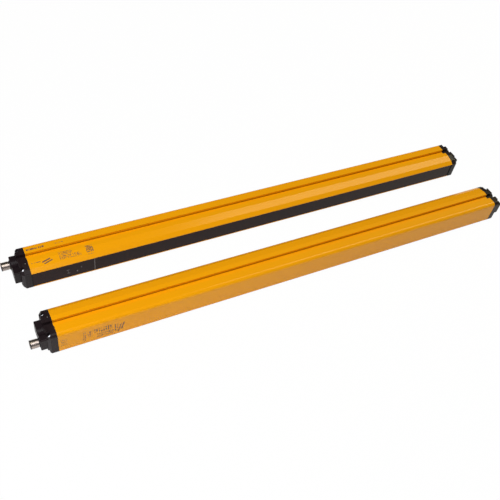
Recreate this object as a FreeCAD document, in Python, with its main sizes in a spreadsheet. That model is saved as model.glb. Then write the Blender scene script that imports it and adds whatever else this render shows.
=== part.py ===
"""Safety light curtain: a sender bar and a receiver bar lying face to face. FreeCAD macro, millimetres.

Both bars are the same design. A bar is modelled in its own frame: x runs along it from the connector end of
the aluminium profile, y runs from the flat back to the optical front, and z runs across it. The receiver
stands in that frame, and the sender is the same bar turned half a turn about its length, so that the two
fronts face each other. The shared origin is on the floor, under the middle of the pair, with +Z up.
"""

import FreeCAD, Part
import math
import os
from types import SimpleNamespace

import Sketcher
from FreeCAD import Placement, Rotation, Vector

SHEET = "Sizes"

SIZES = {
    # the pair
    "pair_back_to_back": (159.4, "distance between the two flat backs"),
    "pair_end_shift": (3.5, "how far the receiver lies ahead of the sender along x"),
    # aluminium profile
    "profile_length": (730, "cut length of the extrusion"),
    "profile_depth": (48, "back to front"),
    "profile_width": (40, "across the two grooved sides"),
    "back_wall": (2.5, "thickness of the back"),
    "side_wall": (2.4, "thickness of the sides"),
    "back_radius": (5, "radius of the two back corners"),
    "flat_end": (17, "where the flat side ends, from the front"),
    "shoulder_back": (6, "end of the long facet, from the front"),
    "shoulder_drop": (2.5, "end of the long facet, below the flat side"),
    "nose_back": (2.5, "end of the short facet, from the front"),
    "nose_drop": (4.7, "end of the short facet, below the flat side"),
    "lip_face": (0.8, "flat front of the lip beside the screen"),
    "groove_start": (15.4, "mounting groove, from the back"),
    "groove_width": (8.5, "mounting groove"),
    "groove_depth": (5, "mounting groove"),
    "groove_wall": (2.2, "wall behind the mounting groove"),
    "channel_radius": (1.6, "screw channels at the four corners"),
    "boss_half": (4, "half the width of the metal round a screw channel"),
    # front screen and its seal
    "screen_from_side": (7.4, "edge of the part that shows, from the widest part of the side"),
    "screen_thickness": (3, ""),
    "screen_recess": (0.4, "screen face below the lips"),
    "screen_start": (0.3, "screen end behind the profile's connector end"),
    "screen_end_gap": (2, "screen end before the profile's far end"),
    "flange_reach": (1.5, "screen edge held behind each lip"),
    "flange_thickness": (1.4, ""),
    "fit_gap": (0.1, "clearance round the screen"),
    "seal_thickness": (1.2, "seal behind the screen"),
    "seal_width": (1.7, ""),
    "seal_end_width": (3, ""),
    # end caps
    "gasket_thickness": (0.8, "gasket between profile and cap"),
    "cap_straight": (8.2, "part of the cap that continues the profile"),
    "cap_chamfer": (3.5, ""),
    "cap_floor": (5, "cap wall at its outer face"),
    "window_margin": (1, "opening in gasket and cap, inside the screw pillars"),
    "window_front": (34, "front edge of that opening, from the back"),
    "window_back": (6.6, "back edge of that opening, from the back"),
    "block_back": (4.2, "raised block, from the back"),
    "block_front": (38, "raised block, from the back"),
    "block_half": (10.5, "raised block, half its width"),
    "block_height": (8.6, ""),
    "block_corner": (1.5, "radius of its four corners"),
    "block_edge": (0.6, "bevel round its face"),
    "waist_radius": (8, "scoop in each side of the block"),
    "waist_depth": (4, ""),
    # cap screws
    "screw_from_back": (5.3, "back pair of screws"),
    "screw_from_front": (9, "front pair of screws"),
    "screw_from_side": (6, ""),
    "screw_hole_radius": (1.75, "hole in cap and gasket"),
    "screw_shank_radius": (1.5, ""),
    "screw_shank_length": (16, "from under the head"),
    "screw_head_radius": (2.75, ""),
    "screw_head_height": (3, ""),
    "screw_head_edge": (0.4, ""),
    "screw_socket_radius": (1.45, "corner radius of the hexagon socket"),
    "screw_socket_depth": (1.5, ""),
    "pocket_radius": (3.2, "pocket round a screw head"),
    "pocket_depth": (5, "from the outer face of the cap"),
    # grub screws in the sides of the connector cap
    "grub_from_back": (32, ""),
    "grub_from_gasket": (3, ""),
    "grub_radius": (1.15, ""),
    "grub_hole_gap": (0.1, ""),
    "grub_hole_depth": (3.6, "from the widest part of the side"),
    "grub_length": (2.4, ""),
    # round plug
    "plug_from_back": (11, "axis of the plug"),
    "plug_radius": (6, "outside of the threaded shell"),
    "plug_reach": (12.3, "shell in front of the block"),
    "neck_radius": (5.4, "shell behind the thread"),
    "neck_length": (2.2, "part of the neck in front of the block"),
    "plug_bore_gap": (0.15, "clearance in the bore"),
    "plug_bore_depth": (7.4, ""),
    "plug_wall": (1.4, ""),
    "insert_gap": (0.1, "clearance between insert and shell"),
    "insert_recess": (6.4, "insert face behind the mouth"),
    "pin_radius": (0.5, ""),
    "pin_circle": (2.5, "radius of the circle of four pins"),
    "pin_recess": (1.4, "pin tips behind the mouth"),
    "ring_section": (1, "side of the sealing ring's square section, on the neck"),
    "ring_gap": (0.05, "sealing ring to neck"),
    "lead_radius": (0.45, ""),
    "lead_hole_radius": (3.9, ""),
    # electronics and optics
    "board_from_back": (16, ""),
    "board_thickness": (1.6, ""),
    "board_gap": (0.3, "board edge to the walls behind the grooves"),
    "board_inset": (6, "board end behind the profile end"),
    "socket_start": (8, "lead socket, from the profile end"),
    "socket_length": (8, ""),
    "socket_depth": (8, "stands off the board"),
    "socket_half": (5, ""),
    "carrier_gap": (0.3, "carrier side to the screw pillars"),
    "carrier_start": (92, "from the connector end of the profile"),
    "carrier_end": (14, "from the far end of the profile"),
    "beam_pitch": (30, ""),
    "beam_first": (15, "first beam, from the carrier's end"),
    "beam_opening": (13, "side of the square shaft in front of a diode"),
    "diode_side": (5, ""),
    "diode_height": (3, ""),
    "lens_thickness": (1.5, ""),
    "lens_to_screen": (0.5, ""),
    "light_block_start": (40, ""),
    "light_block_length": (40, ""),
    "light_first": (62, "first indicator light, from the profile end"),
    "light_step": (6, "second light further along"),
    "light_first_side": (4.2, "first light, across the bar"),
    "light_second_side": (-2, "second light, across the bar"),
    "light_radius": (1.2, ""),
    "light_gap": (0.05, ""),
}


class Size:
    """A length that holds its number and the spreadsheet expression that gives it."""

    def __init__(self, number, text):
        self.number = number
        self.text = text

    def _join(self, other, sign, number):
        return Size(number, f"({self.text} {sign} {as_size(other).text})")

    def __add__(self, other):
        return self._join(other, "+", self.number + as_size(other).number)

    def __sub__(self, other):
        return self._join(other, "-", self.number - as_size(other).number)

    def __mul__(self, other):
        return self._join(other, "*", self.number * as_size(other).number)

    def __truediv__(self, other):
        return self._join(other, "/", self.number / as_size(other).number)

    def __neg__(self):
        return self * -1

    def __radd__(self, other):
        return as_size(other) + self

    def __rsub__(self, other):
        return as_size(other) - self

    def __rmul__(self, other):
        return as_size(other) * self

    def whole(self):
        return Size(math.floor(self.number), f"floor({self.text})")


def as_size(value):
    return value if isinstance(value, Size) else Size(value, f"{value:.9g}")


def make_sheet(doc):
    """Fill the spreadsheet and return its sizes by name."""
    sheet = doc.addObject("Spreadsheet::Sheet", SHEET)
    named = SimpleNamespace()
    for row, (name, (number, note)) in enumerate(SIZES.items(), 1):
        sheet.set(f"A{row}", name.replace("_", " "))
        sheet.set(f"B{row}", str(number))
        sheet.set(f"C{row}", note)
        sheet.setAlias(f"B{row}", name)
        setattr(named, name, Size(number, f"{SHEET}.{name}"))
    doc.recompute()
    return named


def derive(s):
    """Add the sizes that follow from the sheet: x is negative outside the profile's connector end."""
    s.half = s.profile_width / 2
    s.groove_end = s.groove_start + s.groove_width
    s.groove_floor = s.half - s.groove_depth
    s.screen_half = s.half - s.screen_from_side
    s.opening_half = s.screen_half + s.fit_gap
    s.lip_half = s.opening_half + s.lip_face
    s.screen_end = s.profile_length - s.screen_end_gap
    s.screen_front = s.profile_depth - s.screen_recess
    s.screen_back = s.screen_front - s.screen_thickness
    s.flange_half = s.screen_half + s.flange_reach
    s.flange_front = s.screen_back + s.flange_thickness
    s.seal_seat = s.screen_back - s.seal_thickness
    s.screw_front = s.profile_depth - s.screw_from_front
    s.screw_half = s.half - s.screw_from_side
    s.pillar_half = s.screw_half - s.boss_half
    s.behind_groove = s.groove_floor - s.groove_wall
    s.window_half = s.pillar_half - s.window_margin
    s.cap_thickness = s.cap_straight + s.cap_chamfer
    s.cap_face = -(s.gasket_thickness + s.cap_thickness)
    s.pocket_floor = s.cap_face + s.pocket_depth
    s.block_face = s.cap_face - s.block_height
    s.plug_mouth = s.block_face - s.plug_reach
    s.plug_seat = s.block_face + s.plug_bore_depth
    s.plug_hollow = s.plug_radius - s.plug_wall
    s.neck_start = s.block_face - s.neck_length
    s.ring_inside = s.neck_radius + s.ring_gap
    s.ring_outside = s.ring_inside + s.ring_section
    s.board_front = s.board_from_back + s.board_thickness
    s.lens_front = s.screen_back - s.lens_to_screen
    s.lens_back = s.lens_front - s.lens_thickness
    s.carrier_half = s.pillar_half - s.carrier_gap
    s.carrier_length = s.profile_length - s.carrier_end - s.carrier_start
    s.beam_room = s.carrier_length - 2 * s.beam_first
    s.beam_count = (s.beam_room / s.beam_pitch).whole() + 1
    s.pair_start = -(s.profile_length - s.block_face + s.plug_mouth) / 2
    return s


def bar_frames(s):
    """The two bars: the name, where the frame stands, and which way y and z point."""
    back = s.pair_back_to_back / 2
    ahead = s.pair_end_shift / 2
    receiver = SimpleNamespace(name="receiver", x=s.pair_start + ahead, y=-back, z=s.half, turn=1)
    sender = SimpleNamespace(name="sender", x=s.pair_start - ahead, y=back, z=s.half, turn=-1)
    return receiver, sender


# ---- helpers -------------------------------------------------------------------------------------------

def bind(thing, path, size):
    """Set a property from a size, so that it follows the spreadsheet."""
    thing.setExpression(path, as_size(size).text)


def place(thing, bar, x=0, y=0, z=0, turned=None):
    """Put a piece at x, y, z of the bar's frame, with its own rotation in that frame."""
    frame = Rotation(Vector(1, 0, 0), 0 if bar.turn == 1 else 180)
    thing.Placement = Placement(Vector(), frame * (turned or Rotation()))
    bind(thing, "Placement.Base.x", bar.x + x)
    bind(thing, "Placement.Base.y", bar.y + bar.turn * as_size(y))
    bind(thing, "Placement.Base.z", bar.z + bar.turn * as_size(z))


def new_body(doc, bar, name):
    body = doc.addObject("PartDesign::Body", f"{bar.name}_{name}")
    body.Label = f"{bar.name}_{name}"
    return body


def new_sketch(body, plane, offset=0):
    """A sketch on one of the body's own origin planes, moved along its normal."""
    sketch = body.newObject("Sketcher::SketchObject", "Sketch")
    origin = next(item for item in body.Origin.OriginFeatures if item.Role == plane)
    sketch.AttachmentSupport = [(origin, "")]
    sketch.MapMode = "FlatFace"
    bind(sketch, "AttachmentOffset.Base.z", offset)
    return sketch


def fix_point(sketch, geometry, corner, point):
    """Hold one point of the sketch at a pair of sizes from the sketch's origin."""
    for kind, size in zip(("DistanceX", "DistanceY"), point):
        rule = Sketcher.Constraint(kind, -1, 1, geometry, corner, as_size(size).number)
        bind(sketch, f"Constraints[{sketch.addConstraint(rule)}]", size)


def outline(sketch, corners):
    """A closed outline of straight sides through the corners."""
    spots = [Vector(as_size(a).number, as_size(b).number, 0) for a, b in corners]
    first = sketch.GeometryCount
    count = len(spots)
    for index in range(count):
        sketch.addGeometry(Part.LineSegment(spots[index], spots[(index + 1) % count]), False)
    for index in range(count):
        after = first + (index + 1) % count
        sketch.addConstraint(Sketcher.Constraint("Coincident", first + index, 2, after, 1))
    for index, corner in enumerate(corners):
        fix_point(sketch, first + index, 1, corner)


def rectangle(sketch, a0, a1, b0, b1):
    outline(sketch, [(a0, b0), (a1, b0), (a1, b1), (a0, b1)])


def circle(sketch, centre, radius):
    spot = Vector(as_size(centre[0]).number, as_size(centre[1]).number, 0)
    index = sketch.addGeometry(Part.Circle(spot, Vector(0, 0, 1), as_size(radius).number), False)
    fix_point(sketch, index, 3, centre)
    rule = Sketcher.Constraint("Radius", index, as_size(radius).number)
    bind(sketch, f"Constraints[{sketch.addConstraint(rule)}]", radius)


def pad(body, sketch, length, backwards=False):
    """Grow the sketch along its normal, or against it."""
    feature = body.newObject("PartDesign::Pad", "Pad")
    feature.Profile = sketch
    feature.Reversed = backwards
    bind(feature, "Length", length)
    body.Document.recompute()
    return feature


def pocket(body, sketch, depth, forwards=False):
    """Cut the sketch against its normal, or along it, and make sure that it cuts."""
    before = body.Shape.Volume
    feature = body.newObject("PartDesign::Pocket", "Pocket")
    feature.Profile = sketch
    feature.Reversed = forwards
    bind(feature, "Length", depth)
    body.Document.recompute()
    if not body.Shape.Volume < before:
        raise RuntimeError(f"{body.Label}: {sketch.Name} cuts nothing")
    return feature


def edges_where(feature, test):
    return [f"Edge{number}" for number, edge in enumerate(feature.Shape.Edges, 1) if test(edge)]


def dress(body, kind, size_name, size, base, edges):
    """A fillet or a chamfer on the named edges."""
    feature = body.newObject(f"PartDesign::{kind}", kind)
    feature.Base = (base, edges)
    bind(feature, size_name, size)
    body.Document.recompute()
    return feature


def along_x_at(y, z):
    """A test for edges that run along x at the given y and at z on either side."""
    def test(edge):
        ends = [vertex.Point for vertex in edge.Vertexes]
        if len(ends) != 2 or abs(ends[0].x - ends[1].x) < 0.01:
            return False
        return all(abs(p.y - y.number) < 0.01 and abs(abs(p.z) - z.number) < 0.01 for p in ends)
    return test


def in_plane_x(x):
    """A test for edges that lie in the plane at x."""
    def test(edge):
        return all(abs(end - x.number) < 0.01 for end in (edge.BoundBox.XMin, edge.BoundBox.XMax))
    return test


def both_sides(points):
    """Close an upper half outline with its mirror image."""
    return points + [(a, -b) for a, b in reversed(points)]


def box(doc, bar, name, x, y, z):
    """A plain block between pairs of sizes along x, y and z."""
    block = doc.addObject("Part::Box", f"{bar.name}_{name}")
    block.Label = f"{bar.name}_{name}"
    bind(block, "Length", x[1] - as_size(x[0]))
    bind(block, "Width", y[1] - as_size(y[0]))
    bind(block, "Height", z[1] - as_size(z[0]))
    place(block, bar, x[0], y[0], z[0])
    return block


# ---- housing ------------------------------------------------------------------------------------------

def section_corners(s, grooved):
    """Upper half of the outside section, back to front, with or without the mounting groove."""
    groove = [
        (s.groove_start, s.half),
        (s.groove_start, s.groove_floor),
        (s.groove_end, s.groove_floor),
        (s.groove_end, s.half),
    ]
    return [(as_size(0), s.half)] + (groove if grooved else []) + [
        (s.profile_depth - s.flat_end, s.half),
        (s.profile_depth - s.shoulder_back, s.half - s.shoulder_drop),
        (s.profile_depth - s.nose_back, s.half - s.nose_drop),
        (s.profile_depth, s.lip_half),
    ]


def cavity_corners(s):
    """Upper half of the hollow: past the screw pillars and the grooves to the slot that holds the screen."""
    return [
        (s.back_wall, s.pillar_half),
        (s.screw_from_back + s.boss_half, s.pillar_half),
        (s.screw_from_back + s.boss_half, s.behind_groove),
        (s.groove_end + s.groove_wall, s.behind_groove),
        (s.groove_end + s.groove_wall, s.half - s.side_wall),
        (s.screw_front - s.boss_half, s.half - s.side_wall),
        (s.screw_front - s.boss_half, s.pillar_half),
        (s.seal_seat, s.pillar_half),
        (s.seal_seat, s.flange_half + s.fit_gap),
        (s.flange_front + s.fit_gap, s.flange_half + s.fit_gap),
        (s.flange_front + s.fit_gap, s.opening_half),
        (s.profile_depth + 1, s.opening_half),
    ]


def screw_circles(sketch, s, radius):
    for y in (s.screw_from_back, s.screw_front):
        for z in (s.screw_half, -s.screw_half):
            circle(sketch, (y, z), radius)


def round_back(body, base, s):
    return dress(body, "Fillet", "Radius", s.back_radius, base,
                 edges_where(base, along_x_at(as_size(0), s.half)))


def housing_profile(doc, bar, s):
    """The extrusion: an open-fronted channel with two mounting grooves and four screw channels."""
    body = new_body(doc, bar, "housing_profile")
    section = new_sketch(body, "YZ_Plane")
    outline(section, both_sides(section_corners(s, grooved=True)))
    round_back(body, pad(body, section, s.profile_length), s)
    cavity = new_sketch(body, "YZ_Plane")
    outline(cavity, both_sides(cavity_corners(s)))
    pocket(body, cavity, s.profile_length, forwards=True)
    channels = new_sketch(body, "YZ_Plane")
    screw_circles(channels, s, s.channel_radius)
    pocket(body, channels, s.profile_length, forwards=True)
    place(body, bar)
    return body


def front_screen(doc, bar, s):
    """The dark screen, with an edge on each side that slides behind the profile's lips."""
    body = new_body(doc, bar, "front_screen")
    section = new_sketch(body, "YZ_Plane", s.screen_start)
    outline(section, both_sides([
        (s.screen_back, s.flange_half),
        (s.flange_front, s.flange_half),
        (s.flange_front, s.screen_half),
        (s.screen_front, s.screen_half),
    ]))
    pad(body, section, s.screen_end - s.screen_start)
    place(body, bar)
    return body


def screen_seal(doc, bar, s):
    """A flat rubber frame between the screen and the profile."""
    body = new_body(doc, bar, "screen_seal")
    outer = s.flange_half - s.fit_gap
    ends = (s.screen_start, s.screen_end)
    frame = new_sketch(body, "XZ_Plane", -s.seal_seat)
    rectangle(frame, ends[0], ends[1], -outer, outer)
    pad(body, frame, s.seal_thickness, backwards=True)
    opening = new_sketch(body, "XZ_Plane", -s.screen_back)
    inner = outer - s.seal_width
    rectangle(opening, ends[0] + s.seal_end_width, ends[1] - s.seal_end_width, -inner, inner)
    pocket(body, opening, s.seal_thickness, forwards=True)
    place(body, bar)
    return body


# ---- ends ---------------------------------------------------------------------------------------------

def far_end(s):
    """Where a piece of the far end stands, and the half turn that makes its x point outwards."""
    return dict(x=s.profile_length, turned=Rotation(Vector(0, 1, 0), 180))


def grooves(body, sketch, s):
    for side in (1, -1):
        rectangle(sketch, s.groove_start, s.groove_end, side * s.groove_floor, side * (s.half + 1))


def window(sketch, s):
    """The opening that lets the leads through, inside the four screws."""
    rectangle(sketch, s.window_back, s.window_front, -s.window_half, s.window_half)


def cap_gasket(doc, bar, s, name, spot):
    body = new_body(doc, bar, name)
    section = new_sketch(body, "YZ_Plane")
    outline(section, both_sides(section_corners(s, grooved=True)))
    round_back(body, pad(body, section, s.gasket_thickness, backwards=True), s)
    holes = new_sketch(body, "YZ_Plane")
    window(holes, s)
    screw_circles(holes, s, s.screw_hole_radius)
    pocket(body, holes, s.gasket_thickness)
    place(body, bar, **spot)
    return body


def cap_screw_pockets(body, s):
    """Four pockets that open to the sides, each with a hole for its screw."""
    heads = new_sketch(body, "YZ_Plane", s.cap_face)
    screw_circles(heads, s, s.pocket_radius)
    pocket(body, heads, s.pocket_depth, forwards=True)
    for side in (1, -1):
        mouths = new_sketch(body, "YZ_Plane", s.cap_face)
        for y in (s.screw_from_back, s.screw_front):
            rectangle(mouths, y - s.pocket_radius, y + s.pocket_radius,
                      side * s.screw_half, side * (s.half + 1))
        pocket(body, mouths, s.pocket_depth, forwards=True)
    holes = new_sketch(body, "YZ_Plane", s.cap_face)
    screw_circles(holes, s, s.screw_hole_radius)
    pocket(body, holes, s.cap_thickness, forwards=True)


def raised_block(body, s):
    """The block on the cap's face, waisted beside the grooves."""
    foot = new_sketch(body, "YZ_Plane", s.cap_face)
    rectangle(foot, s.block_back, s.block_front, -s.block_half, s.block_half)
    block = pad(body, foot, s.block_height, backwards=True)
    corners = [edge for y in (s.block_back, s.block_front)
               for edge in edges_where(block, along_x_at(y, s.block_half))]
    dress(body, "Fillet", "Radius", s.block_corner, block, corners)
    scoops = new_sketch(body, "YZ_Plane", s.block_face)
    middle = s.groove_start + s.groove_width / 2
    for side in (1, -1):
        circle(scoops, (middle, side * (s.block_half - s.waist_depth + s.waist_radius)), s.waist_radius)
    waisted = pocket(body, scoops, s.block_height, forwards=True)
    dress(body, "Chamfer", "Size", s.block_edge, waisted, edges_where(waisted, in_plane_x(s.block_face)))


def cap_shell(doc, bar, s, name):
    """What both caps share: the bevelled cover that continues the profile, its hollow, pockets and block."""
    body = new_body(doc, bar, name)
    section = new_sketch(body, "YZ_Plane", -s.gasket_thickness)
    outline(section, both_sides(section_corners(s, grooved=False)))
    rounded = round_back(body, pad(body, section, s.cap_thickness, backwards=True), s)
    dress(body, "Chamfer", "Size", s.cap_chamfer, rounded, edges_where(rounded, in_plane_x(s.cap_face)))
    sides = new_sketch(body, "YZ_Plane", -s.gasket_thickness)
    grooves(body, sides, s)
    pocket(body, sides, s.cap_thickness)
    hollow = new_sketch(body, "YZ_Plane", -s.gasket_thickness)
    window(hollow, s)
    pocket(body, hollow, s.cap_thickness - s.cap_floor)
    cap_screw_pockets(body, s)
    raised_block(body, s)
    return body


def plug_bore(body, s):
    """The seat of the plug in the block, and the passage for its leads."""
    bore = new_sketch(body, "YZ_Plane", s.block_face)
    circle(bore, (s.plug_from_back, 0), s.neck_radius + s.plug_bore_gap)
    pocket(body, bore, s.plug_bore_depth, forwards=True)
    passage = new_sketch(body, "YZ_Plane", s.plug_seat)
    circle(passage, (s.plug_from_back, 0), s.lead_hole_radius)
    pocket(body, passage, -s.gasket_thickness - s.plug_seat, forwards=True)


def grub_holes(body, s):
    """A blind hole in each side of the connector cap."""
    x = -(s.gasket_thickness + s.grub_from_gasket)
    for side in (1, -1):
        mouth = new_sketch(body, "XY_Plane", side * s.half)
        circle(mouth, (x, s.grub_from_back), s.grub_radius + s.grub_hole_gap)
        pocket(body, mouth, s.grub_hole_depth, forwards=side == -1)


def connector_cap(doc, bar, s):
    body = cap_shell(doc, bar, s, "connector_cap")
    plug_bore(body, s)
    grub_holes(body, s)
    place(body, bar)
    return body


def far_cap(doc, bar, s):
    """The closed cap of the other end."""
    body = cap_shell(doc, bar, s, "far_cap")
    place(body, bar, **far_end(s))
    return body


def cap_screws(doc, bar, s, name, spot):
    """Four socket-head screws: one revolved and patterned to the corners."""
    body = new_body(doc, bar, name)
    top = s.pocket_floor - s.screw_head_height
    tip = s.pocket_floor + s.screw_shank_length
    half_section = new_sketch(body, "XY_Plane")
    outline(half_section, [
        (top, 0),
        (tip, 0),
        (tip, s.screw_shank_radius),
        (s.pocket_floor, s.screw_shank_radius),
        (s.pocket_floor, s.screw_head_radius),
        (top + s.screw_head_edge, s.screw_head_radius),
        (top, s.screw_head_radius - s.screw_head_edge),
    ])
    turned = body.newObject("PartDesign::Revolution", "Revolution")
    turned.Profile = half_section
    turned.ReferenceAxis = (half_section, ["H_Axis"])
    turned.Angle = 360
    doc.recompute()
    socket = new_sketch(body, "YZ_Plane", top)
    angles = [math.radians(60 * step) for step in range(6)]
    outline(socket, [(s.screw_socket_radius * math.cos(angle), s.screw_socket_radius * math.sin(angle))
                     for angle in angles])
    drive = pocket(body, socket, s.screw_socket_depth, forwards=True)
    row = body.newObject("PartDesign::LinearPattern", "Corners")
    row.Originals = [turned, drive]
    row.Direction = (half_section, ["V_Axis"])
    row.Direction2 = (half_section, ["N_Axis"])
    row.Occurrences = 2
    row.Occurrences2 = 2
    bind(row, "Length", s.screw_front - s.screw_from_back)
    bind(row, "Length2", 2 * s.screw_half)
    body.Tip = row
    doc.recompute()
    side = 1 if "turned" in spot else -1
    place(body, bar, y=s.screw_from_back, z=side * s.screw_half, **spot)
    return body


def grub_screws(doc, bar, s):
    """One set screw in each side of the connector cap."""
    body = new_body(doc, bar, "grub_screws")
    x = -(s.gasket_thickness + s.grub_from_gasket)
    bottom = s.half - s.grub_hole_depth
    seat = new_sketch(body, "XY_Plane", bottom)
    circle(seat, (x, s.grub_from_back), s.grub_radius)
    screw = pad(body, seat, s.grub_length)
    pair = body.newObject("PartDesign::LinearPattern", "Sides")
    pair.Originals = [screw]
    pair.Direction = (seat, ["N_Axis"])
    pair.Reversed = True
    pair.Occurrences = 2
    bind(pair, "Length", 2 * bottom + s.grub_length)
    body.Tip = pair
    doc.recompute()
    place(body, bar)
    return body


# ---- plug ---------------------------------------------------------------------------------------------

def tube(doc, bar, s, name, radii, ends):
    """A round piece on the plug's axis, between two places along x, with or without a hollow."""
    body = new_body(doc, bar, name)
    section = new_sketch(body, "YZ_Plane", ends[0])
    for radius in radii:
        circle(section, (s.plug_from_back, 0), radius)
    pad(body, section, ends[1] - ends[0])
    place(body, bar)
    return body


def pin_spots(s):
    """One pin on the axis and four round it."""
    reach = s.pin_circle * math.sqrt(0.5)
    around = [(s.plug_from_back + a * reach, b * reach) for a in (1, -1) for b in (1, -1)]
    return [(s.plug_from_back, as_size(0))] + around


def rods(doc, bar, s, name, radius, ends):
    """A group of five rods on the pins' axes."""
    body = new_body(doc, bar, name)
    section = new_sketch(body, "YZ_Plane", ends[0])
    for spot in pin_spots(s):
        circle(section, spot, radius)
    pad(body, section, ends[1] - ends[0])
    place(body, bar)
    return body


def plug(doc, bar, s):
    """Shell, contact insert, pins, sealing ring and the leads behind them."""
    shell = tube(doc, bar, s, "plug_shell", (s.plug_radius, s.plug_hollow), (s.plug_mouth, s.neck_start))
    neck = new_sketch(shell, "YZ_Plane", s.neck_start)
    for radius in (s.neck_radius, s.plug_hollow):
        circle(neck, (s.plug_from_back, 0), radius)
    pad(shell, neck, s.plug_seat - s.neck_start)
    insert_ends = (s.plug_mouth + s.insert_recess, s.plug_seat)
    insert = tube(doc, bar, s, "plug_insert", (s.plug_hollow - s.insert_gap,), insert_ends)
    bores = new_sketch(insert, "YZ_Plane", insert_ends[0])
    for spot in pin_spots(s):
        circle(bores, spot, s.pin_radius)
    pocket(insert, bores, insert_ends[1] - insert_ends[0], forwards=True)
    pins = rods(doc, bar, s, "plug_pins", s.pin_radius, (s.plug_mouth + s.pin_recess, s.plug_seat))
    leads = rods(doc, bar, s, "plug_leads", s.lead_radius, (s.plug_seat, s.socket_start))
    seal = tube(doc, bar, s, "plug_sealing_ring", (s.ring_outside, s.ring_inside),
                (s.block_face - s.ring_section, s.block_face))
    return [shell, insert, pins, leads, seal]


# ---- electronics and optics ---------------------------------------------------------------------------

def circuit_board(doc, bar, s):
    half = s.behind_groove - s.board_gap
    return box(doc, bar, "circuit_board", (s.board_inset, s.profile_length - s.board_inset),
               (s.board_from_back, s.board_front), (-half, half))


def lead_socket(doc, bar, s):
    """The terminal block on the back of the board that takes the plug's leads."""
    return box(doc, bar, "lead_socket", (s.socket_start, s.socket_start + s.socket_length),
               (s.board_from_back - s.socket_depth, s.board_from_back), (-s.socket_half, s.socket_half))


def beam_row(body, feature, sketch, s):
    """Repeat a feature at every beam along x."""
    row = body.newObject("PartDesign::LinearPattern", "Beams")
    row.Originals = [feature]
    row.Direction = (sketch, ["H_Axis"])
    row.Mode = "Spacing"
    bind(row, "Offset", s.beam_pitch)
    bind(row, "Occurrences", s.beam_count)
    body.Tip = row
    body.Document.recompute()


def lens_carrier(doc, bar, s):
    """A black bar of square shafts, one for each beam, standing on the board and holding the lens strip."""
    body = new_body(doc, bar, "lens_carrier")
    foot = new_sketch(body, "XZ_Plane", -s.board_front)
    end = s.carrier_start + s.carrier_length
    rectangle(foot, s.carrier_start, end, -s.carrier_half, s.carrier_half)
    pad(body, foot, s.lens_back - s.board_front, backwards=True)
    shaft = new_sketch(body, "XZ_Plane", -s.lens_back)
    first = s.carrier_start + s.beam_first
    side = s.beam_opening / 2
    rectangle(shaft, first - side, first + side, -side, side)
    beam_row(body, pocket(body, shaft, s.lens_back - s.board_front, forwards=True), shaft, s)
    place(body, bar)
    return body


def diodes(doc, bar, s):
    """The emitters or receivers on the front of the board, one for each beam."""
    body = new_body(doc, bar, "diodes")
    foot = new_sketch(body, "XZ_Plane", -s.board_front)
    first = s.carrier_start + s.beam_first
    side = s.diode_side / 2
    rectangle(foot, first - side, first + side, -side, side)
    beam_row(body, pad(body, foot, s.diode_height, backwards=True), foot, s)
    place(body, bar)
    return body


def lens_strip(doc, bar, s):
    return box(doc, bar, "lens_strip", (s.carrier_start, s.carrier_start + s.carrier_length),
               (s.lens_back, s.lens_front), (-s.carrier_half, s.carrier_half))


def light_circles(sketch, s, radius):
    circle(sketch, (s.light_first, s.light_first_side), radius)
    circle(sketch, (s.light_first + s.light_step, s.light_second_side), radius)


def indicator_block(doc, bar, s):
    """The block that carries the two indicator lights up to the screen."""
    body = new_body(doc, bar, "indicator_block")
    foot = new_sketch(body, "XZ_Plane", -s.board_front)
    rectangle(foot, s.light_block_start, s.light_block_start + s.light_block_length,
              -s.carrier_half, s.carrier_half)
    pad(body, foot, s.lens_front - s.board_front, backwards=True)
    bores = new_sketch(body, "XZ_Plane", -s.lens_front)
    light_circles(bores, s, s.light_radius + s.light_gap)
    pocket(body, bores, s.lens_front - s.board_front, forwards=True)
    place(body, bar)
    return body


def indicator_lights(doc, bar, s):
    body = new_body(doc, bar, "indicator_lights")
    foot = new_sketch(body, "XZ_Plane", -s.board_front)
    light_circles(foot, s, s.light_radius)
    pad(body, foot, s.screen_back - s.board_front, backwards=True)
    place(body, bar)
    return body


# ---- the whole ----------------------------------------------------------------------------------------

def build_bar(doc, bar, s):
    near = dict(x=0)
    pieces = [
        housing_profile(doc, bar, s),
        front_screen(doc, bar, s),
        screen_seal(doc, bar, s),
        cap_gasket(doc, bar, s, "connector_gasket", near),
        cap_gasket(doc, bar, s, "far_gasket", far_end(s)),
        connector_cap(doc, bar, s),
        far_cap(doc, bar, s),
        cap_screws(doc, bar, s, "connector_cap_screws", near),
        cap_screws(doc, bar, s, "far_cap_screws", far_end(s)),
        grub_screws(doc, bar, s),
        circuit_board(doc, bar, s),
        lead_socket(doc, bar, s),
        lens_carrier(doc, bar, s),
        diodes(doc, bar, s),
        lens_strip(doc, bar, s),
        indicator_block(doc, bar, s),
        indicator_lights(doc, bar, s),
    ]
    return pieces + plug(doc, bar, s)


def check(doc, pieces):
    """Stop if a feature failed or a piece has no good solid."""
    for thing in doc.Objects:
        if "Invalid" in thing.State or "Error" in thing.State:
            raise RuntimeError(f"{thing.Name} ({thing.Label}) failed: {thing.State}")
    for piece in pieces:
        if piece.Shape.isNull() or not piece.Shape.isValid() or not piece.Shape.Solids:
            raise RuntimeError(f"{piece.Label} has no valid solid")


def main():
    doc = FreeCAD.newDocument("LightCurtain")
    sizes = derive(make_sheet(doc))
    receiver, sender = bar_frames(sizes)
    pieces = build_bar(doc, receiver, sizes) + build_bar(doc, sender, sizes)
    doc.recompute()
    check(doc, pieces)
    os.makedirs("parts", exist_ok=True)
    for piece in pieces:
        piece.Shape.exportStep(f"parts/{piece.Label}.step")
        print(piece.Label, len(piece.Shape.Solids), round(piece.Shape.Volume, 1))


main()
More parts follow.
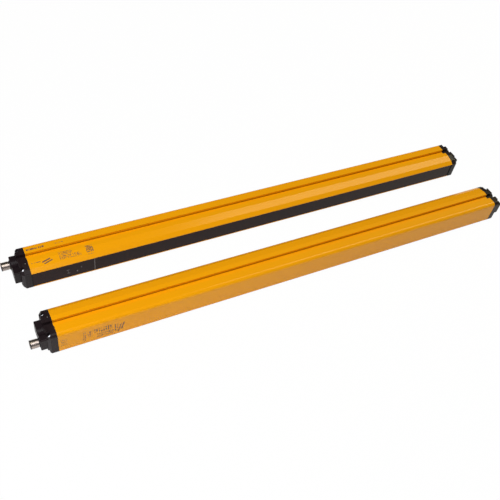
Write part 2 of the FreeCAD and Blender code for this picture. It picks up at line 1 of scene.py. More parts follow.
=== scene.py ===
"""Looks of a safety light curtain: two yellow bars lying face to face on a pale studio floor.

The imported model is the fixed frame. Most of its nodes keep their shape and get a finish. The plug shells and
the screws are replaced by finer ones, and the caps and plugs get a few small forms. Lengths are metres.
"""

import math

import bmesh
import bpy
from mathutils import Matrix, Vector


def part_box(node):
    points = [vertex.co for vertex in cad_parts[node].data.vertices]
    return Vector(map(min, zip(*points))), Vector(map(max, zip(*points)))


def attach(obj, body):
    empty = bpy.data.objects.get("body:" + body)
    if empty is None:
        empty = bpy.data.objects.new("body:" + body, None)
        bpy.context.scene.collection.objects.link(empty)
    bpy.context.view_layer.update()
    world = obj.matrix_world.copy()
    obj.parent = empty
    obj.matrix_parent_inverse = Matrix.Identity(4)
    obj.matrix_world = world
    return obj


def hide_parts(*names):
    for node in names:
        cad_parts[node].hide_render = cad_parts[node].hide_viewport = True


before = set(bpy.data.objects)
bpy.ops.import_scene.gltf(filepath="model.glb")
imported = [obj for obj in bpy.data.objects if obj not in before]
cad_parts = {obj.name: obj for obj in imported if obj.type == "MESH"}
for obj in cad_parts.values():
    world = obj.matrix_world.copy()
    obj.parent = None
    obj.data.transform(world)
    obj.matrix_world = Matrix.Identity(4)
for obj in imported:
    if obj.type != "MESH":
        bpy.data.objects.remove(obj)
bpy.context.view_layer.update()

bl_info = {
    "name": "Light curtain looks",
    "version": (1, 0, 0),
    "blender": (4, 5, 0),
    "location": "3D View > Sidebar > Light curtain",
    "description": "Dresses a pair of light curtain bars and sets up the studio",
    "category": "Object",
}

BARS = ("receiver", "sender")
ENDS = ("connector", "far")
MM = 0.001


# ---- settings -----------------------------------------------------------------------------------------

def length(name, description, default):
    return bpy.props.FloatProperty(name=name, description=description, default=default, unit="LENGTH",
                                   precision=5, min=0)


def share(name, description, default):
    return bpy.props.FloatProperty(name=name, description=description, default=default, min=0, max=1,
                                   subtype="FACTOR")


def colour(name, description, default):
    return bpy.props.FloatVectorProperty(name=name, description=description, default=default, size=3,
                                         min=0, max=1, subtype="COLOR")


class HousingLooks(bpy.types.PropertyGroup):
    paint: colour("Paint", "Yellow powder coat", (0.90, 0.372, 0.0015))
    paint_thin: colour("Thin paint", "Paint where the coat is a little thinner", (0.80, 0.27, 0.003))
    # Painted shade: the colour that darkens the lower walls of the mounting grooves, where shadow falls.
    groove_shade: colour("Groove shade", "Painted shade in the mounting grooves", (0.19, 0.06, 0.001))
    gloss: share("Roughness", "Roughness of the paint", 0.22)
    peel: length("Peel", "Size of the orange peel in the paint", 1.3 * MM)
    ink: colour("Ink", "Grey print on the paint", (0.15, 0.085, 0.06))
    screen: colour("Screen", "Dark tinted screen", (0.0235, 0.0105, 0.011))
    mark: colour("Marks", "Pale print on the screen", (0.26, 0.24, 0.25))


class CapLooks(bpy.types.PropertyGroup):
    plastic: colour("Plastic", "Black moulded plastic", (0.0145, 0.0087, 0.0105))
    grain: length("Grain", "Size of the moulded grain", 0.35 * MM)
    screw_steel: colour("Screws", "Zinc-plated steel", (0.42, 0.43, 0.46))


class PlugLooks(bpy.types.PropertyGroup):
    pitch: length("Pitch", "Pitch of the plug's thread", 1 * MM)
    depth: length("Depth", "Depth of the plug's thread", 0.1 * MM)
    lead_in: length("Lead-in", "Bevel at the mouth of the plug", 0.35 * MM)
    plating: colour("Plating", "Nickel plate", (0.46, 0.39, 0.355))
    gold: colour("Contacts", "Gold-plated contacts", (0.80, 0.55, 0.20))


class StageLooks(bpy.types.PropertyGroup):
    floor: colour("Floor", "Pale studio floor", (0.86, 0.86, 0.86))
    sky: share("Ambient", "Strength of the even light from the room", 0.06)
    focal: bpy.props.FloatProperty(name="Focal length", description="Lens, on a sensor 36 mm wide",
                                   default=49.40, min=1)
    eye: bpy.props.FloatVectorProperty(name="Camera", description="Place of the camera", size=3,
                                       default=(-0.44604, -0.58467, 0.77683), subtype="TRANSLATION")
    aim: bpy.props.FloatVectorProperty(name="Direction", description="Turn of the camera", size=3,
                                       default=(0.7289370, -0.1340678, -0.4585556), subtype="EULER")


# ---- finishes -----------------------------------------------------------------------------------------

class Wire:
    """A value inside a finish; Python's operators on it add Math nodes."""

    def __init__(self, finish, socket):
        self.finish = finish
        self.socket = socket

    def math(self, operation, *others, clamp=False):
        values = dict(enumerate((self,) + others))
        return self.finish.add("ShaderNodeMath", values, operation=operation, use_clamp=clamp)

    def flipped(self, operation, other):
        return self.finish.add("ShaderNodeMath", {0: other, 1: self}, operation=operation)

    def __add__(self, other):
        return self.math("ADD", other)

    def __sub__(self, other):
        return self.math("SUBTRACT", other)

    def __mul__(self, other):
        return self.math("MULTIPLY", other)

    def __truediv__(self, other):
        return self.math("DIVIDE", other)

    def __lt__(self, other):
        return self.math("LESS_THAN", other)

    def __gt__(self, other):
        return self.math("GREATER_THAN", other)

    def __abs__(self):
        return self.math("ABSOLUTE")

    def __radd__(self, other):
        return self.math("ADD", other)

    def __rsub__(self, other):
        return self.flipped("SUBTRACT", other)

    def __rmul__(self, other):
        return self.math("MULTIPLY", other)

    def floor(self):
        return self.math("FLOOR")

    def fraction(self):
        return self.math("FRACT")

    def clamped(self):
        return self.math("ADD", 0, clamp=True)


def socket_name(key):
    return key.replace("_", " ").title().replace("Ior", "IOR")


class Finish:
    """One material: its nodes and the surface shader that they feed."""

    def __init__(self, name, **constants):
        self.material = bpy.data.materials.new(name)
        self.material.use_nodes = True
        self.tree = self.material.node_tree
        self.surface = self.tree.nodes["Principled BSDF"]
        for key, value in constants.items():
            self.surface.inputs[socket_name(key)].default_value = value
        self.place = self.add("ShaderNodeTexCoord", out="Object")

    def add(self, kind, values=None, out=0, stops=None, **settings):
        """Make a node, set it up, feed its inputs and return one of its outputs."""
        node = self.tree.nodes.new(kind)
        for key, value in settings.items():
            setattr(node, key, value)
        if stops:
            ramp = node.color_ramp.elements
            while len(ramp) < len(stops):
                ramp.new(1)
            for element, (position, tone) in zip(ramp, stops):
                element.position = position
                element.color = (tone, tone, tone, 1)
        for key, value in (values or {}).items():
            self.feed(node.inputs[key], value)
        return Wire(self, node.outputs[out])

    def feed(self, socket, value):
        if isinstance(value, Wire):
            self.tree.links.new(value.socket, socket)
        elif isinstance(value, tuple) and len(value) == 3 and socket.type == "RGBA":
            socket.default_value = (*value, 1)
        else:
            socket.default_value = value

    def set(self, **values):
        """Feed the surface shader."""
        for key, value in values.items():
            self.feed(self.surface.inputs[socket_name(key)], value)

    def noise(self, size, detail=2, stretch=(1, 1, 1)):
        """Soft noise whose patches are about the given size, stretched along an axis if asked."""
        spot = self.add("ShaderNodeMapping", {"Vector": self.place, "Scale": stretch})
        return self.add("ShaderNodeTexNoise", {"Vector": spot, "Scale": 1 / size, "Detail": detail})

    def ramp(self, value, *stops):
        return self.add("ShaderNodeValToRGB", {0: value}, stops=stops)

    def mix(self, factor, a, b):
        """A colour between two colours."""
        return self.add("ShaderNodeMix", {0: factor, 6: a, 7: b}, out=2, data_type="RGBA")

    def bump(self, height, distance, strength=1):
        self.set(normal=self.add("ShaderNodeBump", {"Height": height, "Distance": distance,
                                                     "Strength": strength}))

    def coordinates(self):
        """The three coordinates in the frame."""
        split = self.add("ShaderNodeSeparateXYZ", {0: self.place}).socket.node
        return [Wire(self, split.outputs[index]) for index in range(3)]


def patch(a, b, edges):
    """1 inside a rectangle of two coordinates, 0 outside; its four edges are given in millimetres."""
    low_a, high_a, low_b, high_b = (edge * MM for edge in edges)
    return (a > low_a) * (a < high_a) * (b > low_b) * (b < high_b)


def dashes(finish, a, b, step, row, ink):
    """Rows of broken strokes of uneven length, standing in for lines of small print."""
    line = (b / row).floor()
    cell = (a / step + line * 7.31).floor()
    chance = finish.add("ShaderNodeTexWhiteNoise",
                        {"Vector": finish.add("ShaderNodeCombineXYZ", {0: cell, 1: line})})
    inside_row = (b / row).fraction() < 0.56
    return inside_row * (chance < ink)


def yellow_paint(looks, bar, marks):
    """Powder coat: orange peel, slight unevenness, dust, painted shade low in the grooves, and the bar's own
    plain print.
    """
    finish = Finish(f"{bar}_paint", specular_ior_level=0.22)
    cloud = finish.noise(60 * MM, 4)
    speck = finish.noise(0.5 * MM, 1)
    tone = finish.ramp(cloud, (0.3, 0), (0.7, 1))
    paint = finish.mix(tone * 0.12, tuple(looks.paint), tuple(looks.paint_thin))
    dust = finish.ramp(speck, (0.66, 0), (0.78, 1))
    paint = finish.mix(dust * 0.05, paint, (0.75, 0.62, 0.45))
    # Painted shade, darker low on the groove walls, in the colour set for it.
    paint = finish.mix(groove_wall_shade(finish, bar) * 0.6, paint, tuple(looks.groove_shade))
    ink = marks(finish)
    worn = finish.ramp(finish.noise(0.9 * MM, 2), (0.35, 0.7), (0.6, 1))
    finish.set(base_color=finish.mix(ink * worn, paint, tuple(looks.ink)))
    drawn = finish.noise(3 * MM, 3, stretch=(0.02, 1, 1))
    finish.set(roughness=looks.gloss + (drawn - 0.5) * 0.08 + ink * 0.12)
    peel = finish.noise(looks.peel, 2)
    fine = finish.noise(0.25 * MM, 1)
    finish.bump(peel * 0.85 + fine * 0.15, 0.035 * MM, 0.6)
    return finish.material


def groove_wall_shade(finish, bar):
    """Painted shade: darker low on the walls of the mounting grooves, where shadow falls."""
    low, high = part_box(f"{bar}_housing_profile")
    _, y, z = finish.coordinates()
    back = y - low.y if bar == "receiver" else high.y - y
    below = (high.z - low.z) / 2 - abs(z - (low.z + high.z) / 2)
    near_wall, far_wall, skin, depth = 15.4 * MM, 23.9 * MM, 0.06 * MM, 5 * MM
    walls = (abs(back - near_wall) < skin) + (abs(back - far_wall) < skin)
    return walls.clamped() * finish.ramp(below / depth, (0.52, 0), (0.66, 1))


def joined(blocks, face):
    """One mask of several printed blocks, kept to the face that carries them."""
    return (sum(blocks[1:], blocks[0]) * face).clamped()


def receiver_marks(finish):
    """Blocks of small print on the receiver's back, with a pair of plain bars at their end."""
    low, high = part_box("receiver_housing_profile")
    x, y, z = finish.coordinates()
    back = y < low.y + 0.5 * MM
    across = z - (low.z + high.z) / 2
    along = x - low.x
    small = dashes(finish, across, along, 0.8 * MM, 1.9 * MM, 0.62)
    faint = dashes(finish, across, along, 0.6 * MM, 1.4 * MM, 0.4)
    large = dashes(finish, across, along, 1.3 * MM, 3.1 * MM, 0.72)
    blocks = [strokes * patch(along, across, edges) for strokes, edges in (
        (faint, (3, 11.4, -8.5, 6.5)),
        (small, (32.3, 36.2, -12, 9)),
        (large, (38, 44, -4.5, 7)),
        (large, (47, 71.5, -1.2, 8.2)),
        (small, (50, 73, -12, -3)),
        (large, (74, 79, -9, 6)),
    )]
    slant = along - across * 0.28
    blocks += [patch(slant, across, edges) for edges in ((81.4, 83, -12.5, 4), (84.6, 86.9, -8.5, 5.5))]
    return joined(blocks, back)


def sender_marks(finish):
    """Lines of small print on the sender's upper side, two plain bars and a plain chequered square."""
    low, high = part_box("sender_housing_profile")
    x, y, z = finish.coordinates()
    top = z > high.z - 2.8 * MM
    along = x - low.x
    up = high.y - y
    small = dashes(finish, along, up, 0.8 * MM, 2.3 * MM, 0.62)
    fine = dashes(finish, along, up, 0.7 * MM, 1.8 * MM, 0.6)
    title = dashes(finish, along, up - 8 * MM, 0.8 * MM, 5.6 * MM, 0.66)
    blocks = [strokes * patch(along, up, edges) for strokes, edges in (
        (title, (2.6, 27, 8, 11.2)),
        (fine, (41.4, 55.8, 9, 10.1)),
        (fine, (3, 16.4, 34.2, 35.4)),
        (small, (41.3, 60.4, 26.6, 33)),
        (small, (41.6, 71.4, 34, 39.8)),
        (fine, (79.2, 88, 41, 42.2)),
    )]
    slant = up + along * 0.3
    blocks += [patch(slant, along, edges) for edges in ((40.9, 43.1, 17.8, 29.4), (44.5, 46.4, 19.8, 31.8))]
    check = 0.9 * MM
    cell = finish.add("ShaderNodeCombineXYZ", {0: (along / check).floor(), 1: (up / check).floor(), 2: 3.5})
    chequers = finish.add("ShaderNodeTexWhiteNoise", {"Vector": cell}) < 0.6
    blocks.append(chequers * patch(along, up, (79, 88.9, 28, 38.8)))
    return joined(blocks, top)


def dark_screen(looks, bar):
    """Glossy tinted screen with a pale line where the light field starts, two lights and a small mark."""
    finish = Finish(f"{bar}_screen", specular_ior_level=0.12)
    low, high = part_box(f"{bar}_housing_profile")
    x, _, z = finish.coordinates()
    along = x - low.x
    side = (z - (low.z + high.z) / 2) * (1 if bar == "receiver" else -1)
    marks = [patch(along, side, edges) * strength for strength, edges in (
        (0.5, (86.2, 87.6, -11.7, 11.7)),
        (0.6, (60.8, 62.6, 3.3, 5.7)),
        (0.36, (66.8, 68.6, -2.9, -0.5)),
        (0.5, (47, 50.8, -2.4, -1.4)),
        (0.5, (47.6, 51.4, 4.2, 5.2)),
        (0.28, (48.4, 49.5, -1, 4)),
    )]
    pale = sum(marks[1:], marks[0]).clamped()
    smudge = finish.noise(22 * MM, 4)
    body = finish.mix(smudge * 0.25, tuple(looks.screen), (0.034, 0.018, 0.0185))
    finish.set(base_color=finish.mix(pale, body, tuple(looks.mark)))
    wiped = finish.noise(5 * MM, 3, stretch=(0.1, 1, 1))
    finish.set(roughness=0.2 + (smudge - 0.5) * 0.16 + (wiped - 0.5) * 0.06)
    finish.bump(finish.noise(14 * MM, 1), 0.02 * MM, 0.3)
    return finish.material


def black_plastic(looks):
    """Fine-grained moulded plastic, slightly polished and dusty in places."""
    finish = Finish("black_plastic", specular_ior_level=0.2)
    cloud = finish.noise(9 * MM, 4)
    grain = finish.noise(looks.grain, 2)
    base = tuple(looks.plastic)
    pale = tuple(tone * 1.7 for tone in base)
    finish.set(base_color=finish.mix(finish.ramp(cloud, (0.35, 0), (0.75, 1)) * 0.35, base, pale))
    finish.set(roughness=0.36 + (cloud - 0.5) * 0.2 + (grain - 0.5) * 0.1)
    finish.bump(grain, 0.02 * MM, 0.7)
    return finish.material


def plain_finish(name, base, roughness, metallic=0, spread=0.25, patch_size=3 * MM, grain=0.3 * MM,
                 relief=0.01 * MM, stretch=(1, 1, 1), **constants):
    """A finish with some unevenness of colour and gloss, and a fine relief."""
    finish = Finish(name, metallic=metallic, **constants)
    cloud = finish.noise(patch_size, 3, stretch=stretch)
    darker = tuple(tone * (1 - spread) for tone in base)
    finish.set(base_color=finish.mix(finish.ramp(cloud, (0.3, 0), (0.7, 1)), tuple(base), darker))
    finish.set(roughness=roughness + (cloud - 0.5) * 0.12)
    finish.bump(finish.noise(grain, 2, stretch=stretch), relief, 0.6)
    return finish.material


def coat(suffixes, material):
    """Put a material on the same nodes of both bars."""
    for bar in BARS:
        for suffix in suffixes:
            paint(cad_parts[f"{bar}_{suffix}"], material)


def paint(thing, material):
    thing.data.materials.clear()
    thing.data.materials.append(material)


# ---- shapes -------------------------------------------------------------------------------------------

def smooth(mesh, angle=math.radians(35)):
    mesh.shade_smooth()
    mesh.set_sharp_from_angle(angle=angle)


def add_piece(name, shape, material):
    """Turn a bmesh into a piece that rides on the bars' only body."""
    mesh = bpy.data.meshes.new(name)
    bmesh.ops.recalc_face_normals(shape, faces=shape.faces)
    shape.to_mesh(mesh)
    shape.free()
    smooth(mesh)
    mesh.materials.append(material)
    piece = bpy.data.objects.new(name, mesh)
    bpy.context.scene.collection.objects.link(piece)
    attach(piece, "root")
    return piece


def join_rings(shape, rings, closed=False):
    """Skin a row of rings, each a list of the same number of points."""
    made = [[shape.verts.new(point) for point in ring] for ring in rings]
    count = len(made[0])
    pairs = list(zip(made, made[1:] + made[:1] if closed else made[1:]))
    for one, other in pairs:
        for index in range(count):
            after = (index + 1) % count
            shape.faces.new((one[index], one[after], other[after], other[index]))
    return made


def turned_ring(centre, outward, height, radius, steps, upright=False):
    """Points round an axis along x, or along z if upright; radius may be a function of the angle."""
    points = []
    for step in range(steps):
        angle = 2 * math.pi * step / steps
        reach = radius(angle) if callable(radius) else radius
        first, second, out = reach * math.cos(angle), reach * math.sin(angle), outward * height
        offset = (first, second, out) if upright else (out, first, second)
        points.append(Vector([place + move for place, move in zip(centre, offset)]))
    return points


def hexagon(corner):
    """Radius of a hexagon with the given corner radius, as a function of the angle."""
    inner = corner * math.cos(math.pi / 6)
    return lambda angle: inner / math.cos((angle % (math.pi / 3)) - math.pi / 6)


def knurl(radius, teeth):
    """Radius of a knurled head as a function of the angle."""
    depth = 0.09 * MM
    return lambda angle: radius - (depth if round(angle / (2 * math.pi) * teeth) % 2 else 0)


def socket_screw(shape, seat, outward, radius, head, shank_radius, shank, socket):
    """A cap screw whose knurled head has a rounded edge and a hexagon socket; the seat is under the head."""
    steps = 72
    edge, groove, bevel, point = 0.4 * MM, 0.1 * MM, 0.18 * MM, 0.3 * MM
    knurled = knurl(radius, steps)
    bend = [math.radians(30 * turn) for turn in range(4)]
    profile = [(-shank, shank_radius - point), (point - shank, shank_radius), (0, shank_radius),
               (0, radius - 2 * groove), (2 * groove, knurled), (head - edge - groove, knurled)]
    profile += [(head - edge + edge * math.sin(turn), radius - groove - edge + edge * math.cos(turn))
                for turn in bend]
    profile += [(head, socket + bevel), (head - bevel, hexagon(socket)), (head - 1.5 * MM, hexagon(socket))]
    made = join_rings(shape, [turned_ring(seat, outward, height, reach, steps) for height, reach in profile])
    tip = shape.verts.new(seat + Vector((-outward * shank, 0, 0)))
    floor = shape.verts.new(seat + Vector((outward * (head - 1.9 * MM), 0, 0)))
    for index in range(steps):
        after = (index + 1) % steps
        shape.faces.new((made[0][index], made[0][after], tip))
        shape.faces.new((made[-1][index], made[-1][after], floor))


def screw_group(bar, end, material):
    """Finer cap screws in place of a cap's four plain ones."""
    node = f"{bar}_{end}_cap_screws"
    low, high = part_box(node)
    outward = -1 if end == "connector" else 1
    radius, head, shank_radius, shank, socket = 2.75 * MM, 3 * MM, 1.5 * MM, 16 * MM, 1.45 * MM
    seat = low.x + head if end == "connector" else high.x - head
    shape = bmesh.new()
    for y in (low.y + radius, high.y - radius):
        for z in (low.z + radius, high.z - radius):
            socket_screw(shape, Vector((seat, y, z)), outward, radius, head, shank_radius, shank, socket)
    piece = add_piece(f"{node}_fine", shape, material)
    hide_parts(node)


def plug_mouth(bar):
    """Centre of the plug's mouth, the shell's outside radius and its length."""
    low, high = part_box(f"{bar}_plug_shell")
    mouth = Vector((low.x, (low.y + high.y) / 2, (low.z + high.z) / 2))
    return mouth, (high.y - low.y) / 2, high.x - low.x


def thread_radius(looks, outside, threaded, along, angle):
    """Rounded thread form that is bevelled at the mouth and fades out before the neck."""
    turns = along / looks.pitch - angle / (2 * math.pi)
    wave = 0.5 - 0.5 * math.cos(2 * math.pi * turns)
    fade = min(1, (threaded - along) / (0.6 * MM))
    crest = outside - looks.depth * min(1, 1.25 * wave) * fade
    return min(outside - looks.lead_in + along * 0.8, crest)


def threaded_shell(looks, bar, material):
    """The plug's shell with its thread, a bevelled mouth and a plain neck behind the thread."""
    mouth, outside, length = plug_mouth(bar)
    neck, hollow, threaded = 5.4 * MM, 4.6 * MM, 10 * MM
    steps, rows = 60, 100
    rings = [turned_ring(mouth, 1, along, radius, steps)
             for along, radius in ((length, hollow), (0.35 * MM, hollow), (0, hollow + 0.25 * MM))]
    for row in range(rows + 1):
        along = threaded * row / rows
        rings.append(turned_ring(mouth, 1, along,
                                 lambda angle: thread_radius(looks, outside, threaded, along, angle), steps))
    rings += [turned_ring(mouth, 1, along, neck, steps) for along in (threaded + 0.05 * MM, length)]
    shape = bmesh.new()
    join_rings(shape, rings, closed=True)
    piece = add_piece(f"{bar}_plug_shell_threaded", shape, material)
    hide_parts(f"{bar}_plug_shell")


def mouth_ring(bar, material):
    """The black guard ring over the first turns of the thread."""
    mouth, outside, _ = plug_mouth(bar)
    # along from the mouth and in from the outside of the thread, in millimetres
    profile = ((0.02, 0.9), (0.02, 0.25), (0.2, 0.002), (1.25, 0.002), (1.25, 0.3))
    rings = [turned_ring(mouth, 1, along * MM, outside - drop * MM, 60) for along, drop in profile]
    shape = bmesh.new()
    join_rings(shape, rings, closed=True)
    add_piece(f"{bar}_plug_guard", shape, material)


def coding_key(bar, material):
    """The rib inside the plug that keys the cable socket."""
    mouth, _, _ = plug_mouth(bar)
    face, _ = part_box(f"{bar}_plug_insert")
    outer, half, edge = 4.55 * MM, 0.55 * MM, 0.15 * MM
    rows = []
    for x, top in ((face.x, 3.9 * MM), (mouth.x + 1.3 * MM, 3.9 * MM), (mouth.x + 1 * MM, 4.1 * MM)):
        left = [(-1, outer), (-1, top + edge), (-0.7, top)]
        spots = left + [(-side, reach) for side, reach in reversed(left)]
        rows.append([Vector((x, mouth.y + side * half, mouth.z + reach)) for side, reach in spots])
    shape = bmesh.new()
    made = join_rings(shape, rows)
    shape.faces.new(made[0])
    shape.faces.new(reversed(made[-1]))
    add_piece(f"{bar}_plug_key", shape, material)


def cap_lugs(bar, end, material):
    """The square shoulders of a cap between its screw pockets and the mounting grooves."""
    low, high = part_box(f"{bar}_{end}_gasket")
    outward, foot = (-1, low.x) if end == "connector" else (1, high.x)
    forward, back = (1, low.y) if bar == "receiver" else (-1, high.y)
    middle = (low.z + high.z) / 2
    # along from the gasket and out from the bar's middle, in millimetres
    profile = ((8.1, 19.8), (8.1, 20), (11.2, 20), (11.7, 19.5), (11.7, 16.4))
    behind_groove, before_groove = (8.6, 15.38), (23.92, 35.6)
    shape = bmesh.new()
    for side in (1, -1):
        for span in (behind_groove, before_groove):
            rings = []
            for depth in span:
                y = back + forward * depth * MM
                rings.append([Vector((foot + outward * along * MM, y, middle + side * reach * MM))
                              for along, reach in profile])
            made = join_rings(shape, rings)
            shape.faces.new(made[0])
            shape.faces.new(reversed(made[-1]))
    add_piece(f"{bar}_{end}_cap_lugs", shape, material)


def set_screws(bar, material):
    """Set screws with a small hexagon socket in the sides of the connector cap."""
    node = f"{bar}_grub_screws"
    low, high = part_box(node)
    radius, bevel, socket = (high.x - low.x) / 2, 0.15 * MM, hexagon(0.72 * MM)
    profile = ((-2.4 * MM, radius), (-bevel, radius), (0, radius - bevel), (0, 0.75 * MM),
               (-0.1 * MM, socket), (-1.1 * MM, socket))
    shape = bmesh.new()
    for outward, face in ((1, high.z), (-1, low.z)):
        centre = Vector(((low.x + high.x) / 2, (low.y + high.y) / 2, face))
        rings = [turned_ring(centre, outward, height, reach, 36, upright=True) for height, reach in profile]
        made = join_rings(shape, rings)
        shape.faces.new(made[0])
        shape.faces.new(made[-1])
    piece = add_piece(f"{node}_fine", shape, material)
    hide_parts(node)


# ---- operators ----------------------------------------------------------------------------------------

class FinishHousings(bpy.types.Operator):
    """Paint the extruded housings and print their plain marks"""
    bl_idname = "curtain.finish_housings"
    bl_label = "Finish housings"

    def execute(self, context):
        looks = context.scene.curtain_housing
        for bar, marks in zip(BARS, (receiver_marks, sender_marks)):
            paint(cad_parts[f"{bar}_housing_profile"], yellow_paint(looks, bar, marks))
        return {"FINISHED"}


class FinishScreens(bpy.types.Operator):
    """Give the front screens their dark gloss and pale marks"""
    bl_idname = "curtain.finish_screens"
    bl_label = "Finish screens"

    def execute(self, context):
        looks = context.scene.curtain_housing
        for bar in BARS:
            paint(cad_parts[f"{bar}_front_screen"], dark_screen(looks, bar))
        return {"FINISHED"}


class FinishCaps(bpy.types.Operator):
    """Give the end caps their moulded finish and shoulders, and fit the screws"""
    bl_idname = "curtain.finish_caps"
    bl_label = "Finish caps"

    def execute(self, context):
        looks = context.scene.curtain_caps
        plastic = black_plastic(looks)
        coat(("connector_cap", "far_cap", "lens_carrier", "indicator_block"), plastic)
        steel = plain_finish("screw_steel", tuple(looks.screw_steel), 0.22, metallic=1, patch_size=1.5 * MM,
                             grain=0.2 * MM)
        dull_steel = plain_finish("set_screw_steel", (0.5, 0.48, 0.46), 0.5, metallic=1, patch_size=1 * MM)
        for bar in BARS:
            set_screws(bar, dull_steel)
            for end in ENDS:
                screw_group(bar, end, steel)
                cap_lugs(bar, end, plastic)
        return {"FINISHED"}


class FitPlugs(bpy.types.Operator):
    """Make the threaded plug shells, guard rings and keys, and finish the contacts"""
    bl_idname = "curtain.fit_plugs"
    bl_label = "Fit plugs"

    def execute(self, context):
        looks = context.scene.curtain_plugs
        nickel = plain_finish("nickel_plate", tuple(looks.plating), 0.28, metallic=1, patch_size=2 * MM,
                              spread=0.18, stretch=(6, 1, 1))
        insert = plain_finish("insert_plastic", (0.018, 0.018, 0.02), 0.45, grain=0.15 * MM)
        for bar in BARS:
            threaded_shell(looks, bar, nickel)
            mouth_ring(bar, insert)
            coding_key(bar, insert)
        coat(("plug_insert",), insert)
        coat(("plug_pins",), plain_finish("gold_plate", tuple(looks.gold), 0.2, metallic=1, spread=0.12))
        coat(("plug_leads",), plain_finish("lead_sleeve", (0.7, 0.68, 0.62), 0.5))
        return {"FINISHED"}


class FinishSeals(bpy.types.Operator):
    """Give the gaskets and seals their matt rubber"""
    bl_idname = "curtain.finish_seals"
    bl_label = "Finish seals"

    def execute(self, context):
        rubber = plain_finish("black_rubber", (0.013, 0.013, 0.014), 0.7, patch_size=6 * MM, spread=0.3,
                              specular_ior_level=0.3)
        coat(("connector_gasket", "far_gasket", "screen_seal", "plug_sealing_ring"), rubber)
        return {"FINISHED"}


class FinishInside(bpy.types.Operator):
    """Give the boards, diodes, lenses and lights inside their finishes"""
    bl_idname = "curtain.finish_inside"
    bl_label = "Finish inside"

    def execute(self, context):
        coat(("circuit_board",), plain_finish("board_lacquer", (0.02, 0.13, 0.05), 0.3, patch_size=5 * MM))
        coat(("lead_socket",), plain_finish("socket_plastic", (0.7, 0.69, 0.65), 0.45))
        coat(("diodes",), plain_finish("diode_resin", (0.03, 0.025, 0.045), 0.12))
        coat(("lens_strip",), plain_finish("lens_acrylic", (0.75, 0.8, 0.82), 0.08, spread=0.05,
                                           transmission_weight=0.9))
        coat(("indicator_lights",), plain_finish("light_pipe", (0.8, 0.8, 0.76), 0.3, spread=0.08))
        return {"FINISHED"}


class SetStage(bpy.types.Operator):
    """Set the floor, the lamps, the room's light and the camera"""
    bl_idname = "curtain.set_stage"
    bl_label = "Set stage"

    def execute(self, context):
        looks = context.scene.curtain_stage
        make_floor(looks)
        light_room(looks)
        add_lamp("lamp_left", (-0.9, -0.5, 1.2), (-0.6, -0.5, 0), (1.1, 1.2), 20.3)
        add_lamp("lamp_right", (0.95, 0.2, 1.15), (0.7, 0.2, 0), (0.5, 1.25), 9.2, (1, 0.99, 0.62))
        add_lamp("lamp_front", (-1.5, -1.3, 0.8), (-0.4, 0, 0), (2, 1.2), 4.1)
        camera_data = bpy.data.cameras.new("camera")
        camera_data.lens = looks.focal
        camera_data.sensor_width = 36
        camera = bpy.data.objects.new("camera", camera_data)
        camera.location = looks.eye
        camera.rotation_euler = looks.aim
        context.scene.collection.objects.link(camera)
        context.scene.camera = camera
        context.scene.view_settings.view_transform = "Standard"
        return {"FINISHED"}


def make_floor(looks):
    """A wide pale floor that throws light up at the bars and reads white behind them."""
    shape = bmesh.new()
    bmesh.ops.create_grid(shape, x_segments=8, y_segments=8, size=6)
    mesh = bpy.data.meshes.new("floor")
    shape.to_mesh(mesh)
    shape.free()
    finish = Finish("studio_floor", roughness=0.9, specular_ior_level=0.1)
    finish.set(base_color=finish.mix(finish.noise(0.5, 2) * 0.04, tuple(looks.floor), (0.8, 0.8, 0.8)))
    path = finish.add("ShaderNodeLightPath").socket.node
    rays = {"Is Camera Ray": 0.985, "Is Glossy Ray": 0.5, "Is Transmission Ray": 0.9}
    seen = [Wire(finish, path.outputs[ray]) * share_of_glow for ray, share_of_glow in rays.items()]
    glow = finish.add("ShaderNodeEmission", {"Color": (1.0, 1.0, 1.0), "Strength": 1.0})
    blend = finish.add("ShaderNodeMixShader", {0: (seen[0] + seen[1] + seen[2]).clamped(),
                                               1: Wire(finish, finish.surface.outputs[0]), 2: glow})
    finish.feed(finish.tree.nodes["Material Output"].inputs["Surface"], blend)
    mesh.materials.append(finish.material)
    floor = bpy.data.objects.new("floor", mesh)
    floor.location.z = -0.0005
    bpy.context.scene.collection.objects.link(floor)


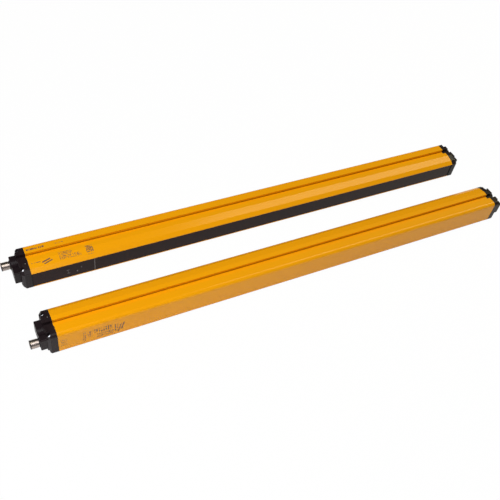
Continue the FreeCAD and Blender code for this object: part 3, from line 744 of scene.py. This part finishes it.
def light_room(looks):
    """Faint even light from the room, which the camera itself sees as white."""
    world = bpy.data.worlds.new("room")
    world.use_nodes = True
    nodes, links = world.node_tree.nodes, world.node_tree.links
    faint, white = nodes["Background"], nodes.new("ShaderNodeBackground")
    for background, strength in ((faint, looks.sky), (white, 1)):
        background.inputs["Color"].default_value = (1, 1, 1, 1)
        background.inputs["Strength"].default_value = strength
    choice = nodes.new("ShaderNodeMixShader")
    links.new(nodes.new("ShaderNodeLightPath").outputs["Is Camera Ray"], choice.inputs[0])
    links.new(faint.outputs[0], choice.inputs[1])
    links.new(white.outputs[0], choice.inputs[2])
    links.new(choice.outputs[0], nodes["World Output"].inputs["Surface"])
    bpy.context.scene.world = world


def add_lamp(name, place, target, size, power, tone=(1, 1, 1)):
    """A soft rectangular lamp that faces a point."""
    lamp = bpy.data.lights.new(name, "AREA")
    lamp.shape = "RECTANGLE"
    lamp.size, lamp.size_y = size
    lamp.energy = power
    lamp.color = tone
    thing = bpy.data.objects.new(name, lamp)
    thing.location = place
    thing.rotation_euler = (Vector(target) - Vector(place)).to_track_quat("-Z", "Y").to_euler()
    bpy.context.scene.collection.objects.link(thing)


class CurtainPanel(bpy.types.Panel):
    """Sizes, colours and steps of the light curtain's looks"""
    bl_label = "Light curtain"
    bl_idname = "VIEW3D_PT_curtain"
    bl_space_type = "VIEW_3D"
    bl_region_type = "UI"
    bl_category = "Light curtain"

    def draw(self, context):
        for group in GROUPS:
            box = self.layout.box()
            looks = getattr(context.scene, group)
            for name in looks.__annotations__:
                box.prop(looks, name)
        for step in STEPS:
            self.layout.operator(step.bl_idname)


GROUPS = {
    "curtain_housing": HousingLooks,
    "curtain_caps": CapLooks,
    "curtain_plugs": PlugLooks,
    "curtain_stage": StageLooks,
}
STEPS = (FinishHousings, FinishScreens, FinishCaps, FitPlugs, FinishSeals, FinishInside, SetStage)


def register():
    for kind in (*GROUPS.values(), *STEPS, CurtainPanel):
        bpy.utils.register_class(kind)
    for name, kind in GROUPS.items():
        setattr(bpy.types.Scene, name, bpy.props.PointerProperty(type=kind))


def unregister():
    for name in GROUPS:
        delattr(bpy.types.Scene, name)
    for kind in (*GROUPS.values(), *STEPS, CurtainPanel):
        bpy.utils.unregister_class(kind)


def main():
    register()
    for step in STEPS:
        group, action = step.bl_idname.split(".")
        getattr(getattr(bpy.ops, group), action)()


if __name__ == "__main__":
    main()
